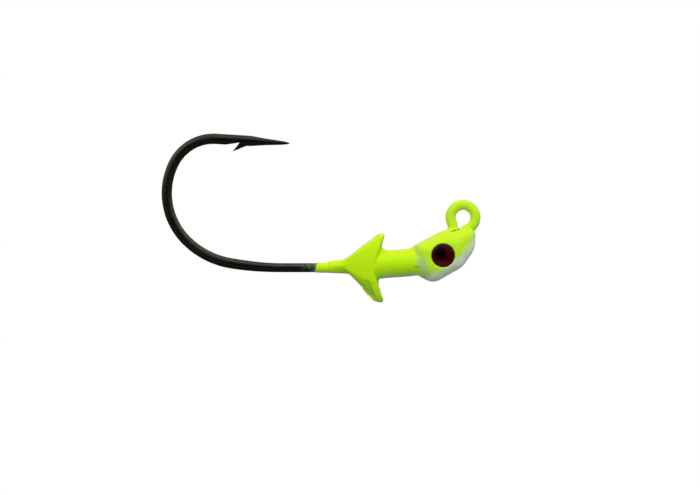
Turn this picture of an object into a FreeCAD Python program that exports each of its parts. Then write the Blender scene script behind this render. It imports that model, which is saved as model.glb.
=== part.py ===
import FreeCAD, Part
import math
import os

# Jig head: a lead fish head with a barbed bait keeper, cast round a forged jig hook.
# Millimetres and degrees. +X runs along the shank to the nose, +Z up to the hook point, and
# +Y is the fish's left side. The origin is the centre of the line tie, the hook's wire eye.

# --- Hook wire -------------------------------------------------------------------------------
WIRE_DIAMETER = 1.32
FORGED_HEIGHT = 1.52          # the bend is pressed flat: taller in its own plane
FORGED_WIDTH = 1.14           # and thinner across it

# --- Line tie: the eye, its stem and its tag end ---------------------------------------------
EYE_BORE = 2.3                # clear hole inside the bare wire
STEM_OFFSET = 1.5             # from the eye's centre back to the stem's axis
STEM_CURVE = 1.5              # centreline radius where the stem runs into the eye
TAG_ANGLE = 28.0              # slope of the tag end where it closes the eye
TAG_GAP = 0.10                # between the tag end and the stem
NECK_RADIUS = 2.0             # centreline radius where the shank turns up into the stem

# --- Shank, bend and point -------------------------------------------------------------------
SHANK_DROP = 7.32             # from the eye's centre down to the shank's axis
SHANK_LENGTH = 24.7           # from the stem's axis back to the start of the bend
GAPE = 18.75                  # from the shank's axis up to the wire above the throat
BEND_ARCS = [                 # (radius as a share of the gape, turn), from the shank round
    (2.375, 9.9),
    (0.634, 34.7),
    (0.519, 71.8),
    (0.343, 67.1),
]
POINT_LENGTH = 10.75          # straight stretch from the bend to the tip
SPEAR_LENGTH = 6.0            # ground part of it, in front of the barb
SPEAR_TAPER = [               # (share of the spear from the tip, share of the full section)
    (0.0, 0.03),
    (0.06, 0.20),
    (0.18, 0.36),
    (0.40, 0.52),
    (0.68, 0.72),
    (0.88, 0.93),
    (1.0, 1.0),
]
BARB_FOOT = 6.1               # from the tip back to the front of the barb
BARB_ROOT = 7.3               # from the tip back to the inner corner of the barb
BARB_REACH = 8.2              # from the tip back to the barb's own tip
BARB_RISE = 1.65              # the barb's tip stands this far off the wire's axis
BARB_CUT = 0.32               # the inner corner's height off the wire's axis
BARB_BREADTH = 0.80
BARB_POINT = 0.06             # the size of its tip against its root

# --- Lead head -------------------------------------------------------------------------------
HEAD_LENGTH = 8.8
HEAD_HEIGHT = 7.6
HEAD_THICKNESS = 5.1
HEAD_NOSE = 1.66              # the nose's front, forward of the eye's centre
HEAD_TOP = 1.66               # the head's top, below the eye's centre
HEAD_OUTLINE = [              # (share of length, share of height, corner radius), from the gill's top
    (-0.01, 0.665, 1.2),
    (0.57, 1.01, 6.0),
    (1.01, 1.00, 0.95),
    (1.00, 0.617, 3.0),
    (0.80, 0.28, 3.0),
    (0.32, -0.035, 1.9),
    (0.04, 0.128, 1.7),
]
CROWN_POWER = 2.5             # how boxy the head is from side to side: 2 would be an ellipse
CROWN_LEVELS = 5              # outlines from the middle of the head to one side
CROWN_END = 0.42              # size of the last outline against the middle one

# --- Collar, keeper and tail -----------------------------------------------------------------
COLLAR_DIAMETER = 3.84
COLLAR_TILT = 4.5             # the collar climbs towards the head
COLLAR_RISE = 0.39            # the collar's axis above the shank's, at the keeper
COLLAR_LENGTH = 8.0           # from inside the keeper to inside the head
KEEPER_BACK = 12.0            # from the eye's centre back to the root of the keeper's barbs
KEEPER_CORE_RADIUS = 2.15     # widest part of the arrowhead's core
KEEPER_CORE_LENGTH = 4.0
KEEPER_STEP = 0.85            # the core steps down to the collar over this length
ARROW_OUTLINE = [             # (behind KEEPER_BACK, above the core's axis, corner radius)
    (6.20, 0.00, 0.60),       # nose
    (0.18, 4.52, 0.38),       # tip of the upper fin, a barb for soft bait
    (-0.60, 4.52, 0.38),
    (0.17, 1.83, 0.50),
    (0.77, -1.67, 0.50),
    (-0.43, -5.36, 0.38),     # tip of the lower fin
    (0.35, -5.36, 0.38),
    (1.55, -2.67, 0.30),      # inner corner in front of the lower fin
    (2.45, -2.62, 0.45),
    (3.70, -1.62, 0.60),
]
ARROW_PIVOT = 1.9             # behind KEEPER_BACK, where the outline's edges round in towards
ARROW_SWELL = [               # (behind KEEPER_BACK, half the thickness at the core's axis)
    (6.9, 0.62), (5.0, 1.30), (3.0, 1.85), (1.0, 2.16), (-1.0, 2.20),
]
ARROW_TALL = 2.5              # how many times taller than thick the swell is
ARROW_EDGE_HALF = 2.45        # half the thickness that the outline's rounded edges start from
FLASH_TIP = 6                 # the arrow outline's corner that the flash runs out from
FLASH_THICKNESS = 0.36        # casting flash, a thin web in front of the lower fin
FLASH_OUTLINE = [             # (in front of the fin's tip, above it), from the root out
    (4.06, 4.25),
    (2.31, 2.37),
    (2.16, 1.95),
    (1.50, 1.07),
    (1.15, 0.93),
    (1.10, 0.73),
    (0.60, 0.25),
    (0.00, 0.05),
]
TAIL_LENGTH = 2.6             # thin sleeve of lead behind the keeper
TAIL_END_WALL = 0.12
TAIL_ROOT_WALL = 0.30
TAIL_LIFT = 0.18              # the tail's sleeve sits this far above the shank's axis

# --- Paint -----------------------------------------------------------------------------------
PAINT = 0.08                  # powder coat over lead and wire
PAINT_REACH = 2.0             # how far the coat runs on along the shank past the lead

# --- Fish eyes -------------------------------------------------------------------------------
EYE_DISC_DIAMETER = 3.36
EYE_DISC_THICKNESS = 0.12
EYE_LENS_EDGE = 0.22          # the resin's upright edge
EYE_LENS_DOME = 0.22          # and the dome on top of it
EYE_BACK = 2.95               # from the line tie's centre back to the fish eye's centre
EYE_DROP = 5.55               # and down
SOCKET_DEPTH = 0.45           # floor of the bare socket below the head's widest point
SOCKET_CLEARANCE = 0.04       # round the disc, inside the paint

# --- Worked out ------------------------------------------------------------------------------
WIRE_RADIUS = WIRE_DIAMETER / 2
EYE_MEAN_RADIUS = EYE_BORE / 2 + WIRE_RADIUS
HEAD_HALF = HEAD_THICKNESS / 2
HEAD_REAR_X = HEAD_NOSE - HEAD_LENGTH
HEAD_BOTTOM_Z = -HEAD_TOP - HEAD_HEIGHT
PIVOT = (-EYE_BACK, -EYE_DROP)
SOCKET_RADIUS = EYE_DISC_DIAMETER / 2 + SOCKET_CLEARANCE + PAINT
COLLAR_RADIUS = COLLAR_DIAMETER / 2
TAIL_START_X = -KEEPER_BACK - KEEPER_STEP - KEEPER_CORE_LENGTH
TAIL_END_X = TAIL_START_X - TAIL_LENGTH
CORE_Z = COLLAR_RISE - SHANK_DROP
Y_AXIS = FreeCAD.Vector(0, 1, 0)


def at(x, z, y=0.0):
    """A point from its place in the hook's plane and its distance across it."""
    return FreeCAD.Vector(x, y, z)


def heading(angle):
    """Unit vector in the hook's plane, angle measured from +X towards +Z."""
    turn = math.radians(angle)
    return at(math.cos(turn), math.sin(turn))


class Step:
    """One stretch of the wire's centreline: straight, or an arc with a centre."""

    def __init__(self, start, angle, length=0.0, radius=0.0, turn=0.0):
        self.start = start
        self.angle = angle
        self.length = length
        self.radius = radius
        self.turn = turn
        side = 90 if turn > 0 else -90
        self.centre = start + heading(angle + side) * radius
        self.end_angle = angle + turn
        self.end = self.point(1.0)

    def point(self, share):
        """The centreline at a share of this stretch."""
        if not self.radius:
            return self.start + heading(self.angle) * (self.length * share)
        side = -90 if self.turn > 0 else 90
        return self.centre + heading(self.angle + self.turn * share + side) * self.radius

    def heading_at(self, share):
        return self.angle + self.turn * share


def trace(start, angle, moves):
    """The steps drawn from a start by moves, each ("line", length) or ("arc", radius, turn)."""
    steps = []
    for move in moves:
        if move[0] == "line":
            step = Step(start, angle, length=move[1])
        else:
            step = Step(start, angle, radius=move[1], turn=move[2])
        steps.append(step)
        start = step.end
        angle = step.end_angle
    return steps


def eye_steps():
    """The tag end, the eye, and the stem and neck down to the shank, heading back along -X."""
    side_reach = STEM_OFFSET + STEM_CURVE
    centre_gap = EYE_MEAN_RADIUS + STEM_CURVE
    curve_z = -math.sqrt(centre_gap**2 - side_reach**2)
    stem_turn = math.degrees(math.atan2(-curve_z, side_reach))
    tag_start_angle = -90 + TAG_ANGLE
    eye_turn = 180 + stem_turn - tag_start_angle
    tag_top = heading(tag_start_angle) * EYE_MEAN_RADIUS
    tag_dir = heading(TAG_ANGLE)
    end_x = -STEM_OFFSET + WIRE_RADIUS + TAG_GAP + WIRE_RADIUS * math.sin(math.radians(TAG_ANGLE))
    tag_length = (tag_top.x - end_x) / tag_dir.x
    stem_length = SHANK_DROP - NECK_RADIUS + curve_z
    moves = [
        ("line", tag_length),
        ("arc", EYE_MEAN_RADIUS, eye_turn),
        ("arc", STEM_CURVE, -stem_turn),
        ("line", stem_length),
        ("arc", NECK_RADIUS, -90),
    ]
    return trace(tag_top - tag_dir * tag_length, TAG_ANGLE, moves)


def shank_step(start, reach):
    """The straight shank, from the neck back to a distance from the stem's axis."""
    return trace(start, 180, [("line", reach - NECK_RADIUS)])[0]


def bend_steps(start):
    """The bend's arcs, then the straight point."""
    moves = [("arc", share * GAPE, -turn) for share, turn in BEND_ARCS]
    return trace(start, 180, moves + [("line", POINT_LENGTH)])


def section(step, share, height, width):
    """The wire's elliptical section, square to its centreline."""
    ellipse = Part.Ellipse(FreeCAD.Vector(), height / 2, width / 2)
    ellipse.Axis = heading(step.heading_at(share))
    ellipse.XAxis = heading(step.heading_at(share) + 90)
    ellipse.Center = step.point(share)
    return Part.Wire(ellipse.toShape())


def run(step, height, width):
    """A stretch of wire of one section."""
    face = Part.Face(section(step, 0.0, height, width))
    if not step.radius:
        return face.extrude(heading(step.angle) * step.length)
    axis = Y_AXIS * (-1 if step.turn > 0 else 1)
    return face.revolve(step.centre, axis, abs(step.turn))


def forging(step, rounds=6):
    """The stretch where the round shank turns into the flattened bend."""
    wires = []
    for k in range(rounds + 1):
        share = k / rounds
        ease = share * share * (3 - 2 * share)
        height = WIRE_DIAMETER + (FORGED_HEIGHT - WIRE_DIAMETER) * ease
        width = WIRE_DIAMETER + (FORGED_WIDTH - WIRE_DIAMETER) * ease
        wires.append(section(step, share, height, width))
    return Part.makeLoft(wires, True)


def fused(shapes):
    """One solid out of shapes that touch or overlap."""
    return shapes[0].fuse(shapes[1:]).removeSplitter()


def spear(step):
    """The ground point, from the full section in front of the barb to the tip."""
    wires = []
    for from_tip, size in reversed(SPEAR_TAPER):
        share = 1 - from_tip * SPEAR_LENGTH / step.length
        wires.append(section(step, share, FORGED_HEIGHT * size, FORGED_WIDTH * size))
    return Part.makeLoft(wires, True)


def barb_and_cut(step):
    """The barb raised from the wire's inner side, and the notch left behind it."""
    back = heading(step.angle + 180)
    down = heading(step.angle - 90)

    def spot(from_tip, off_axis):
        return step.end + back * from_tip + down * off_axis

    foot = spot(BARB_FOOT, FORGED_HEIGHT / 2 - BARB_CUT / 4)
    root = spot(BARB_ROOT, BARB_CUT)
    tip = spot(BARB_REACH, BARB_RISE)
    middle = (foot + root) * 0.5
    along = (root - foot) * 0.5
    wires = []
    for centre, size in ((middle, 1.0), (tip, BARB_POINT)):
        long_end = centre + along * size
        side = centre + Y_AXIS * (BARB_BREADTH / 2 * size)
        wires.append(Part.Wire(Part.Ellipse(long_end, side, centre).toShape()))
    barb = Part.makeLoft(wires, True, True)
    outside = FORGED_HEIGHT
    corners = [
        root,
        tip,
        spot(BARB_REACH + outside, BARB_RISE + outside),
        spot(BARB_REACH + outside, FORGED_HEIGHT / 2 + BARB_CUT / 4),
    ]
    across = Y_AXIS * FORGED_WIDTH
    face = Part.Face(Part.makePolygon([c - across for c in corners + corners[:1]]))
    return barb, face.extrude(across * 2)


def hook():
    """The whole hook, one piece of wire from the tag end to the tip."""
    eye = eye_steps()
    shank = shank_step(eye[-1].end, SHANK_LENGTH)
    bend = bend_steps(shank.end)
    pieces = [run(step, WIRE_DIAMETER, WIRE_DIAMETER) for step in eye + [shank]]
    pieces.append(forging(bend[0]))
    pieces += [run(step, FORGED_HEIGHT, FORGED_WIDTH) for step in bend[1:-1]]
    point = bend[-1]
    barb, cut = barb_and_cut(point)
    rear = trace(point.start, point.angle, [("line", POINT_LENGTH - SPEAR_LENGTH)])[0]
    pieces.append(fused([run(rear, FORGED_HEIGHT, FORGED_WIDTH), spear(point)]).cut(cut))
    pieces.append(barb)
    return fused(pieces)


def grown(corners, grow):
    """An outline that runs clockwise, moved out by grow on every side."""
    lines = []
    for i, (a, _) in enumerate(corners):
        b = corners[(i + 1) % len(corners)][0]
        along = (b - a).normalize()
        outward = at(-along.z, along.x)
        lines.append((a + outward * grow, along))
    moved = []
    for i, (_, radius) in enumerate(corners):
        p, along_p = lines[i - 1]
        q, along_q = lines[i]
        gap = q - p
        cross = along_p.x * along_q.z - along_p.z * along_q.x
        reach = (gap.x * along_q.z - gap.z * along_q.x) / cross
        change = grow if cross < 0 else -grow
        moved.append((p + along_p * reach, radius + change))
    return moved


def rounded(corners, y):
    """A closed wire of lines and tangent arcs at a distance y across the hook's plane."""
    count = len(corners)
    ends = []
    for i, (corner, radius) in enumerate(corners):
        to_last = corners[i - 1][0] - corner
        to_next = corners[(i + 1) % count][0] - corner
        half = to_last.getAngle(to_next) / 2
        room = 0.48 * min(to_last.Length, to_next.Length)
        trim = min(radius / math.tan(half), room)
        radius = trim * math.tan(half)
        to_last.normalize()
        to_next.normalize()
        inward = (to_last + to_next).normalize()
        middle = corner + inward * (radius / math.sin(half) - radius)
        ends.append((corner + to_last * trim, middle, corner + to_next * trim))
    shift = Y_AXIS * y
    edges = []
    for i, (first, middle, last) in enumerate(ends):
        edges.append(Part.Arc(first + shift, middle + shift, last + shift).toShape())
        following = ends[(i + 1) % count][0]
        edges.append(Part.LineSegment(last + shift, following + shift).toShape())
    return Part.Wire(edges)


def pillow(corners, pivot, half):
    """A plump flat body: its outline, shrinking about a pivot towards both sides."""
    end_level = (1 - CROWN_END**CROWN_POWER) ** (1 / CROWN_POWER)
    wires = []
    for k in range(-CROWN_LEVELS, CROWN_LEVELS + 1):
        level = end_level * math.sin(math.pi / 2 * k / CROWN_LEVELS)
        size = (1 - abs(level) ** CROWN_POWER) ** (1 / CROWN_POWER)
        scaled = [(pivot + (p - pivot) * size, r * size) for p, r in corners]
        wires.append(rounded(scaled, level / end_level * half))
    return Part.makeLoft(wires, True)


def head(grow):
    """The fish head: its side outline, shrinking about the fish eye towards both cheeks."""
    corners = []
    for along, up, radius in HEAD_OUTLINE:
        x = HEAD_REAR_X + along * HEAD_LENGTH
        z = HEAD_BOTTOM_Z + up * HEAD_HEIGHT
        corners.append((at(x, z), radius))
    return pillow(grown(corners, grow), at(*PIVOT), HEAD_HALF + grow)


def collar(grow):
    """The round collar that the bait slides over."""
    start = at(-KEEPER_BACK - KEEPER_STEP / 2, CORE_Z)
    return Part.makeCylinder(COLLAR_RADIUS + grow, COLLAR_LENGTH, start, heading(COLLAR_TILT))


def keeper_core(grow):
    """The arrowhead's round core and the thin sleeve behind it."""
    axis = at(1, 0)
    end_x = -KEEPER_BACK + KEEPER_STEP / 2
    stations = [               # (x, height above the shank's axis, radius)
        (TAIL_END_X - grow, TAIL_LIFT / 2, WIRE_RADIUS + TAIL_END_WALL),
        (TAIL_START_X, TAIL_LIFT, WIRE_RADIUS + TAIL_ROOT_WALL),
        (-KEEPER_BACK - KEEPER_STEP, COLLAR_RISE, KEEPER_CORE_RADIUS),
        (end_x, COLLAR_RISE, COLLAR_RADIUS - TAIL_END_WALL),
    ]
    pieces = []
    for (x_a, up_a, r_a), (x_b, up_b, r_b) in zip(stations, stations[1:]):
        first = Part.makeCircle(r_a + grow, at(x_a, up_a - SHANK_DROP), axis)
        last = Part.makeCircle(r_b + grow, at(x_b, up_b - SHANK_DROP), axis)
        pieces.append(Part.makeLoft([Part.Wire(first), Part.Wire(last)], True, True))
    return fused(pieces)


def by_core(behind, up):
    """A point from its place behind the keeper's root and above the core's axis."""
    return at(-KEEPER_BACK - behind, CORE_Z + up)


def swell(grow):
    """A smooth tall spindle along the core: thin at the arrowhead's nose, top and bottom."""
    wires = []
    for behind, half in ARROW_SWELL:
        ring = Part.Ellipse(by_core(behind, 0), (half + grow) * ARROW_TALL, half + grow)
        ring.Axis = at(1, 0)
        ring.XAxis = at(0, 1)
        wires.append(Part.Wire(ring.toShape()))
    return Part.makeLoft(wires, True)


def arrowhead(grow):
    """The bait keeper: a smooth arrowhead whose two fins are barbs."""
    corners = [(by_core(behind, up), radius) for behind, up, radius in ARROW_OUTLINE]
    pivot = by_core(ARROW_PIVOT, 0)
    half = ARROW_EDGE_HALF + grow
    return pillow(grown(corners, grow), pivot, half).common(swell(grow))


def flash(grow):
    """The thin web of lead that ran out between the moulds, in front of the lower fin."""
    behind, up, _ = ARROW_OUTLINE[FLASH_TIP]
    tip = by_core(behind, up)
    edge = [tip + at(-ahead, above) for ahead, above in FLASH_OUTLINE]
    inner = [at(tip.x, CORE_Z), at(edge[0].x + COLLAR_RADIUS, CORE_Z)]
    across = Y_AXIS * (FLASH_THICKNESS / 2 + grow)
    face = Part.Face(Part.makePolygon(edge + inner + edge[:1]))
    if grow:
        face = face.makeOffset2D(grow)
    face.translate(-across)
    return face.extrude(across * 2)


def socket(grow, side):
    """What the fish eye's round seat takes out of one cheek."""
    floor = HEAD_HALF - SOCKET_DEPTH + grow
    start = at(PIVOT[0], PIVOT[1], side * floor)
    return Part.makeCylinder(SOCKET_RADIUS - grow, HEAD_HALF, start, Y_AXIS * side)


def lead_outside(grow):
    """The outside of the casting, moved out by grow, with its two eye seats."""
    pieces = [head(grow), collar(grow), keeper_core(grow), arrowhead(grow), flash(grow)]
    outside = fused(pieces)
    for side in (1, -1):
        outside = outside.cut(socket(grow, side))
    return outside


def wire_channel(reach, grow):
    """The round wire from the tag end back along the shank, moved out by grow."""
    eye = eye_steps()
    steps = eye + [shank_step(eye[-1].end, reach)]
    diameter = WIRE_DIAMETER + 2 * grow
    return fused([run(step, diameter, diameter) for step in steps])


def head_casting():
    """The lead, cast round the wire."""
    return lead_outside(0.0).cut(wire_channel(SHANK_LENGTH, 0.0))


def powder_coat():
    """The powder coat on the lead, on the eye and on the shank behind the tail."""
    painted_reach = -TAIL_END_X - STEM_OFFSET + PAINT_REACH
    outside = fused([lead_outside(PAINT), wire_channel(painted_reach, PAINT)])
    inside = fused([lead_outside(0.0), wire_channel(SHANK_LENGTH, 0.0)])
    return outside.cut(inside)


def fish_eye(side):
    """The printed disc and the clear lens in one cheek's seat."""
    radius = EYE_DISC_DIAMETER / 2
    base = HEAD_HALF - SOCKET_DEPTH + PAINT
    out = Y_AXIS * side
    disc = Part.makeCylinder(radius, EYE_DISC_THICKNESS, at(*PIVOT, side * base), out)
    edge_y = base + EYE_DISC_THICKNESS
    edge = Part.makeCylinder(radius, EYE_LENS_EDGE, at(*PIVOT, side * edge_y), out)
    dome_y = edge_y + EYE_LENS_EDGE
    blank = Part.makeCylinder(radius, 2 * EYE_LENS_DOME, at(*PIVOT, side * dome_y), out)
    ball = (radius**2 + EYE_LENS_DOME**2) / (2 * EYE_LENS_DOME)
    ball_y = dome_y + EYE_LENS_DOME - ball
    dome = Part.makeSphere(ball, at(*PIVOT, side * ball_y)).common(blank)
    lens = fused([edge, dome])
    return disc, lens


def parts():
    """Every piece by its node's name."""
    made = {"hook": hook(), "head_casting": head_casting(), "powder_coat": powder_coat()}
    for name, side in (("left", 1), ("right", -1)):
        made[f"{name}_eye_disc"], made[f"{name}_eye_lens"] = fish_eye(side)
    return made


def main():
    os.makedirs("parts", exist_ok=True)
    for name, shape in parts().items():
        solids = shape.Solids
        solid = solids[0] if len(solids) == 1 else Part.makeCompound(solids)
        solid.exportStep(f"parts/{name}.step")
        box = solid.BoundBox
        print(
            f"{name}: {len(solids)} solid(s), valid {solid.isValid()}, {solid.Volume:.2f} mm3,"
            f" x {box.XMin:.2f}..{box.XMax:.2f}, y {box.YMin:.2f}..{box.YMax:.2f},"
            f" z {box.ZMin:.2f}..{box.ZMax:.2f}"
        )


main()
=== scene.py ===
"""Looks of a painted jig head: powder-coated lead on a black hook, with resin fish eyes.

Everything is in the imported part's own frame: +X to the nose, +Z up to the hook's point, +Y out of
the left cheek, and the origin at the centre of the wire eye. Mesh work is done in millimetres.
"""

import math

import bmesh
import bpy
import numpy as np
from bpy.props import FloatProperty, FloatVectorProperty, IntProperty, PointerProperty
from bpy.types import Operator, Panel, PropertyGroup
from mathutils import Matrix, Vector, noise
from mathutils.bvhtree import BVHTree


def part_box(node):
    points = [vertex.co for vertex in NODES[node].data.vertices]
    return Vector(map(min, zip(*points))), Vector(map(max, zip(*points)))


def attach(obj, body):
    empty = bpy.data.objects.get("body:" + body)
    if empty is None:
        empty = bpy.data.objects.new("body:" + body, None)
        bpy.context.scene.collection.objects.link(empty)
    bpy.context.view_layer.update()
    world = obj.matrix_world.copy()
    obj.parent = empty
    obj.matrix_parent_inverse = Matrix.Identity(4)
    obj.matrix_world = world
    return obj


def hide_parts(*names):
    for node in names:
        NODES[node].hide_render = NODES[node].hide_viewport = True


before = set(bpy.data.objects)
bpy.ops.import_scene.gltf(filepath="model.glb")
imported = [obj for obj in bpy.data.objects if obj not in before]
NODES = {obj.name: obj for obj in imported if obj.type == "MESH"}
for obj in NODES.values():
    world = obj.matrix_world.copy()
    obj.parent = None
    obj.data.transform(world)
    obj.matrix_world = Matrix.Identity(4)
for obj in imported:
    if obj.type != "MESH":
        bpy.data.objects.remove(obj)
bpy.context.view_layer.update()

bl_info = {
    "name": "Jig head finish",
    "version": (1, 0, 0),
    "blender": (4, 5, 0),
    "location": "View3D > Sidebar > Jig head",
    "description": "Powder coat, plating, fish eyes and studio for the packed jig head",
    "category": "Object",
}

MM = 0.001
SIDES = {"left": 1, "right": -1}


def box_mm(node):
    """A CAD node's lowest and highest corners, in millimetres."""
    low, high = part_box(node)
    return low / MM, high / MM


DISC_LOW, DISC_HIGH = box_mm("left_eye_disc")
LENS_LOW, LENS_HIGH = box_mm("left_eye_lens")
EYE = (DISC_LOW + DISC_HIGH) / 2
EYE_RADIUS = (DISC_HIGH.x - DISC_LOW.x) / 2
WIRE_RADIUS = 0.66
SHANK_Z = box_mm("hook")[0].z + WIRE_RADIUS


def length(name, description, default):
    """A length that a user can change, given in millimetres and held in metres."""
    return FloatProperty(
        name=name, description=description, default=default * MM, precision=6, unit="LENGTH"
    )


def colour(name, description, default):
    """A paint, plating or print colour, as linear red, green and blue."""
    return FloatVectorProperty(
        name=name, description=description, default=default, size=3, min=0, max=1, subtype="COLOR"
    )


class JigCoatSettings(PropertyGroup):
    """The powder coat on the lead and the wire."""

    thickness: length("Coat thickness", "Paint over the bare lead and wire", 0.08)
    grain: length("Mesh grain", "Size of the squares that the coat is built from", 0.075)
    end: length("Coat end", "Where the paint stops along the shank", -21.4)
    flow_rounds: IntProperty(
        name="Flow rounds", description="How far melted powder fills inner corners", default=26
    )
    ripple: length("Ripple", "Unevenness left where the powder flowed", 0.028)
    # These three colours are chosen by which way the surface faces: partly a thicker spray above,
    # partly painted light and shade, yellower on top and greener below.
    top_colour: colour("Top coat", "Chartreuse where it lies thick", (0.60, 0.80, 0.002))
    side_colour: colour("Side coat", "Chartreuse on the sides", (0.50, 0.83, 0.001))
    low_colour: colour("Low coat", "Chartreuse where little powder landed", (0.45, 0.84, 0.01))
    base_colour: colour("Base coat", "Pale undercoat along the belly", (0.74, 0.86, 0.75))


class JigEyeSettings(PropertyGroup):
    """The fish eyes: a printed disc under a resin dome."""

    pupil_radius: length("Pupil radius", "Printed pupil", 0.74)
    pupil_back: length("Pupil back", "Pupil's centre behind the eye's centre", 0.32)
    pupil_up: length("Pupil up", "Pupil's centre above the eye's centre", 0.27)
    iris_colour: colour("Iris", "Dark red print", (0.105, 0.0030, 0.0026))
    pupil_colour: colour("Pupil", "Black print", (0.0020, 0.0024, 0.0014))


class JigHookSettings(PropertyGroup):
    """The hook's plating."""

    plating_colour: colour("Plating", "Black nickel", (0.066, 0.072, 0.053))
    fleck_reach: length("Fleck reach", "How far specks of paint run past the coat", 3.2)


class JigStageSettings(PropertyGroup):
    """The camera, floor and lamp."""

    focal: FloatProperty(name="Focal length", description="Lens, in millimetres", default=200.0)
    view_width: length("View width", "Width of the camera's frame at the part", 101.74)
    view_x: length("View centre X", "Middle of the camera's frame along the shank", -16.43)
    view_z: length("View centre Z", "Middle of the camera's frame in height", -4.385)
    floor_z: length("Floor height", "Top of the floor under the part", -52.0)
    lamp_power: FloatProperty(name="Lamp power", description="Soft lamp, in watts", default=2.2)


# --- Mesh work, in millimetres ---------------------------------------------------------------

SOCKET_OUTER, SOCKET_INNER = 0.42, 0.2  # past the disc's radius, where a socket fades in
SOCKET_DEPTH = 0.3  # how far inside the disc a socket still counts

# The thin web in front of the lower fin. Its edge slopes, so heights are measured from a slope.
FLASH_X, FLASH_SLOPE = -14.0, 0.45
FLASH_TOP, FLASH_EDGE = -9.3, -10.1
FLASH_FRONT, FLASH_HALF = -12.6, 0.5

# Noise on the coat: the size of its bumps, and a shift that sets each apart.
LONG_WAVE, SHORT_WAVE = (2.3, 11.0), (0.8, 37.0)
RAGGED_WAVE, END_WAVE = (0.7, 71.0), (0.45, 5.0)
NOISE_GAIN = 1.6

# The lower fin's edge is rougher than the rest: from none to all of it, in Z and in X.
RAGGED_Z, RAGGED_X, RAGGED_HEIGHT = (-8.9, -9.9), (-12.3, -13.0), 0.03

SHRINK, GROW = 0.5, 0.52  # shares of the way to the neighbours' middle, there and back
FLOW_SHARE = 0.9  # how much of an inner corner's depth one round of flow takes up
LEAST_COVER, COVER_REACH = 0.03, 0.4  # the thinnest paint, and how far the metal is looked for
END_TAPER, END_COVER = 0.6, 0.4  # the length over which the coat thins, and to what share
END_RAGGED = 0.11  # how far the coat's end wanders along the shank
END_FREE = 0.35  # this close to its end, the coat may be thinner than LEAST_COVER
END_NEAR, END_FAR = 0.1, 0.4  # its end wanders fully up to the first, and fades by the second
END_SLANT = (1, 0, -0.22)  # square to the coat's slanting end, towards the coat
CRACK_SPAN = 2.4  # how far out to each side the cracks cut

DOME_EDGE, DOME_ROUNDING, DOME_SEGMENTS = 0.22, 0.14, 72
CROWN_STEPS, RIM_STEPS, DOME_CHAMFER = 10, 6, 0.02

# Where powder pooled in inner corners: X, Z, reach and rounds of flow.
POOLS = [
    (-7.4, -4.5, 1.5, 60),
    (-11.9, -4.8, 1.1, 60),
    (-12.1, -9.2, 1.1, 50),
    (-17.8, -7.2, 1.9, 60),
    (-14.4, -9.4, 1.9, 40),
]

# Lumps of powder that fill the deepest corners: X, Z and half the width at each of their corners.
LUMPS = [
    [  # under the arrowhead, out to the edge of the thin web
        (-16.9, -7.6, 1.28), (-15.4, -8.2, 1.7), (-14.3, -8.9, 1.8), (-13.4, -9.3, 1.7),
        (-16.7, -7.95, 1.1), (-15.45, -8.65, 1.5), (-14.4, -9.4, 1.5), (-13.4, -10.1, 1.05),
        (-13.0, -10.3, 0.7), (-13.0, -11.4, 0.25), (-16.4, -8.15, 0.55), (-15.55, -9.0, 0.6),
        (-14.6, -9.8, 0.5), (-13.9, -10.8, 0.22),
    ],
    [  # behind the upper fin
        (-12.3, -4.5, 0.8), (-12.3, -5.6, 1.3), (-11.0, -5.5, 1.3), (-11.95, -4.4, 0.7),
        (-11.7, -4.76, 0.8), (-11.1, -4.93, 0.8),
    ],
    [  # where the collar meets the top of the head
        (-7.9, -4.75, 0.4), (-7.9, -5.1, 0.9), (-6.2, -3.66, 0.6), (-6.4, -4.8, 1.3),
        (-7.0, -4.14, 0.5),
    ],
    [  # from the sleeve on the wire up to the arrowhead
        (-19.3, -6.55, 0.2), (-19.3, -6.75, 0.52), (-19.3, -7.05, 0.72), (-19.3, -7.35, 0.72),
        (-19.3, -7.65, 0.52), (-19.3, -7.85, 0.2), (-17.6, -6.5, 0.4), (-17.6, -6.7, 0.82),
        (-17.6, -7.0, 1.09), (-17.6, -7.3, 1.05), (-17.6, -7.6, 0.82), (-17.6, -7.9, 0.35),
        (-16.3, -6.2, 1.15), (-16.3, -6.8, 1.54), (-16.3, -7.1, 1.5), (-16.3, -7.5, 1.25),
        (-16.3, -7.85, 0.8),
    ],
]

# Hairline cracks across the sides: X and Z of both ends, width and depth.
CRACKS = [(-1.72, -2.06, -0.62, -1.76, 0.065, 0.075), (-7.02, -7.17, -6.42, -7.27, 0.05, 0.03)]


def smoothstep(low, high, value):
    """From 0 at low to 1 at high, with soft ends. Low may be the larger number."""
    share = np.clip((value - low) / (high - low), 0, 1)
    return share * share * (3 - 2 * share)


def mesh_arrays(mesh):
    """A mesh's points in millimetres, its edges and its triangles."""
    points = np.empty(len(mesh.vertices) * 3)
    mesh.vertices.foreach_get("co", points)
    edges = np.empty(len(mesh.edges) * 2, np.int32)
    mesh.edges.foreach_get("vertices", edges)
    mesh.calc_loop_triangles()
    triangles = np.empty(len(mesh.loop_triangles) * 3, np.int32)
    mesh.loop_triangles.foreach_get("vertices", triangles)
    return points.reshape(-1, 3) / MM, edges.reshape(-1, 2), triangles.reshape(-1, 3)


def gather(index, values, count):
    """Sums rows of values onto the points that index names."""
    return np.stack([np.bincount(index, values[:, k], count) for k in range(3)], axis=1)


def to_neighbours(points, edges):
    """From each point to the middle of its neighbours."""
    a, b = edges.T
    count = len(points)
    total = gather(a, points[b], count) + gather(b, points[a], count)
    ties = np.bincount(a, minlength=count) + np.bincount(b, minlength=count)
    return total / np.maximum(ties, 1)[:, None] - points


def normals(points, triangles):
    """Each point's direction out of the surface, of length 1."""
    corner = points[triangles]
    flat = np.cross(corner[:, 1] - corner[:, 0], corner[:, 2] - corner[:, 0])
    summed = sum(gather(triangles[:, k], flat, len(points)) for k in range(3))
    return summed / np.maximum(np.linalg.norm(summed, axis=1), 1e-12)[:, None]


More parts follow.
